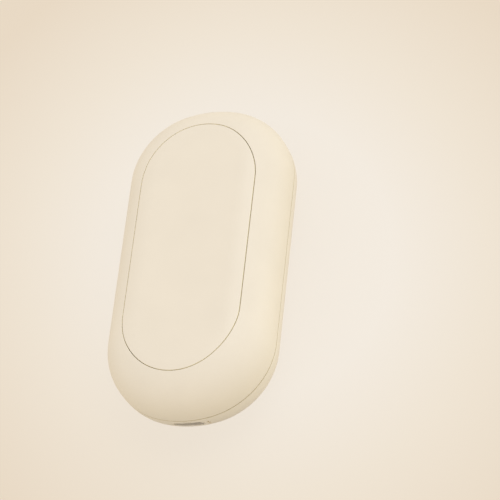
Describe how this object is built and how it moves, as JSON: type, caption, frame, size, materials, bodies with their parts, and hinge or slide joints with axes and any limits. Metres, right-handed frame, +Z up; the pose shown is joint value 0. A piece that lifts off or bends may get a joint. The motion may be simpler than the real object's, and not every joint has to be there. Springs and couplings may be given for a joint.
{
  "type": "rechargeable hand warmer",
  "caption": "Pocket hand warmer: a flat cream pebble of two shells with an inset heat panel, a charging port in one end, and a flush power button and status lights underneath.",
  "frame": {"origin": "middle of the flat button face that the warmer lies on", "axes": "+Z up through the heat panel, +Y along the length towards the button and status lights, +X to the right; the charging port faces -Y"},
  "size_m": [0.05, 0.1, 0.027],
  "materials": {
    "casing_plastic": "fine soft matt moulded cream plastic",
    "panel_coat": "satin cream coating on a thin metal plate",
    "button_plastic": "fine soft matt moulded cream plastic",
    "smoked_plastic": "dark smoked clear plastic",
    "white_foam": "closed-cell foam",
    "seal_rubber": "soft beige sealing ring",
    "amber_film": "thin amber heat-proof film",
    "copper_foil": "etched copper-coloured foil",
    "sensor_ceramic": "dark bead",
    "red_wire": "red insulation",
    "black_wire": "black insulation",
    "white_wire": "white insulation",
    "circuit_board": "green solder resist",
    "steel": "plain bright metal",
    "black_plastic": "black moulding",
    "ivory_plastic": "ivory moulding",
    "gold_contact": "gold plated contact",
    "led_white": "white light package",
    "cell_foil": "satin foil pouch",
    "cell_tape": "amber insulating tape over a small board",
    "chip_body": "black package",
    "ferrite": "dark grey ferrite",
    "capacitor_body": "tan ceramic"
  },
  "bodies": {
    "casing": {"panel_side_shell": "casing_plastic", "button_side_shell": "casing_plastic", "heat_panel": "panel_coat", "panel_seal": "seal_rubber", "heater_film": "amber_film", "heater_trace": "copper_foil", "heater_foam": "white_foam", "temperature_sensor": "sensor_ceramic", "sensor_leads": "white_wire", "heater_leads": "red_wire", "main_board": "circuit_board", "usb_socket_shell": "steel", "usb_socket_tongue": "black_plastic", "usb_socket_contacts": "gold_contact", "switch_body": "black_plastic", "switch_dome": "steel", "light_guide": "smoked_plastic", "status_led_left": "led_white", "status_led_middle": "led_white", "status_led_right": "led_white", "battery_cell": "cell_foil", "cell_protection_board": "cell_tape", "battery_tape": "white_foam", "battery_cushion": "white_foam", "battery_connector": "ivory_plastic", "battery_lead_positive": "red_wire", "battery_lead_negative": "black_wire", "heat_controller_chip": "chip_body", "charge_controller_chip": "chip_body", "heater_transistor": "chip_body", "power_inductor": "ferrite", "board_capacitors": "capacitor_body", "board_resistors": "chip_body", "case_screws": "steel"},
    "button": {"button_cap": "button_plastic", "switch_plunger": "ivory_plastic"}
  },
  "joints": [
    {"name": "button_press", "type": "slide", "parent": "casing", "child": "button", "axis": [0, 0, 1], "range_m": [0, 0.0003], "stiffness_N_per_m": 4000, "springref_m": -0.0001, "deforming": ["switch_dome"]}
  ]
}
